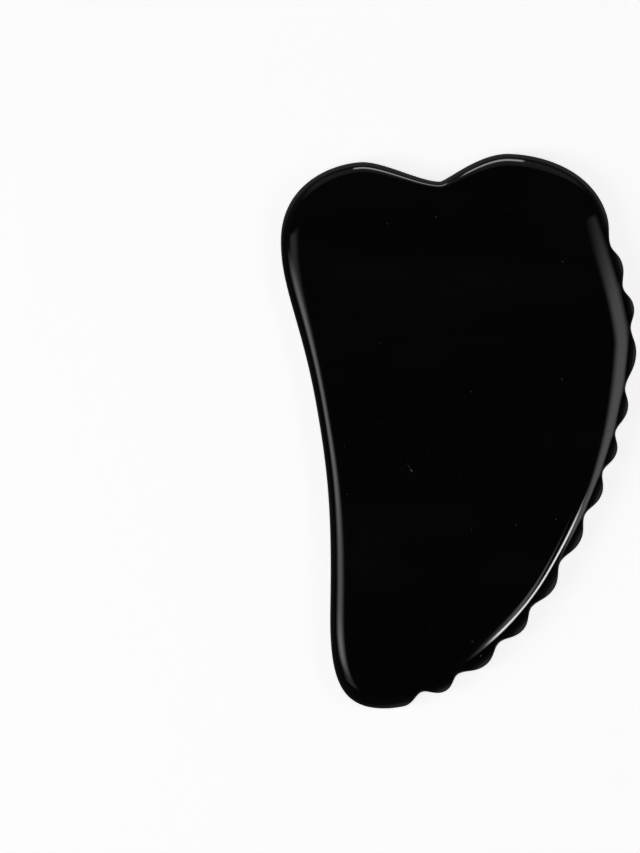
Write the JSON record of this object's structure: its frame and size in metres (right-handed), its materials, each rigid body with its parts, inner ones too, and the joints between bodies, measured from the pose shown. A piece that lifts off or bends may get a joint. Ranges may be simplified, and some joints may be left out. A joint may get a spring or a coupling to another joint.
{
  "type": "gua sha scraper",
  "caption": "Flat board of polished black stone with a heart-shaped end, a hollow long side, a rounded toe and a scalloped comb along the other long side.",
  "frame": {"origin": "the flat face that the board rests on, under the middle of its box", "axes": "+X towards the scalloped comb, +Y towards the heart-shaped end, +Z out of the upper flat face"},
  "size_m": [0.064, 0.1, 0.0065],
  "materials": {
    "obsidian": "polished"
  },
  "bodies": {
    "root": {"scraper_stone": "obsidian"}
  },
  "joints": []
}
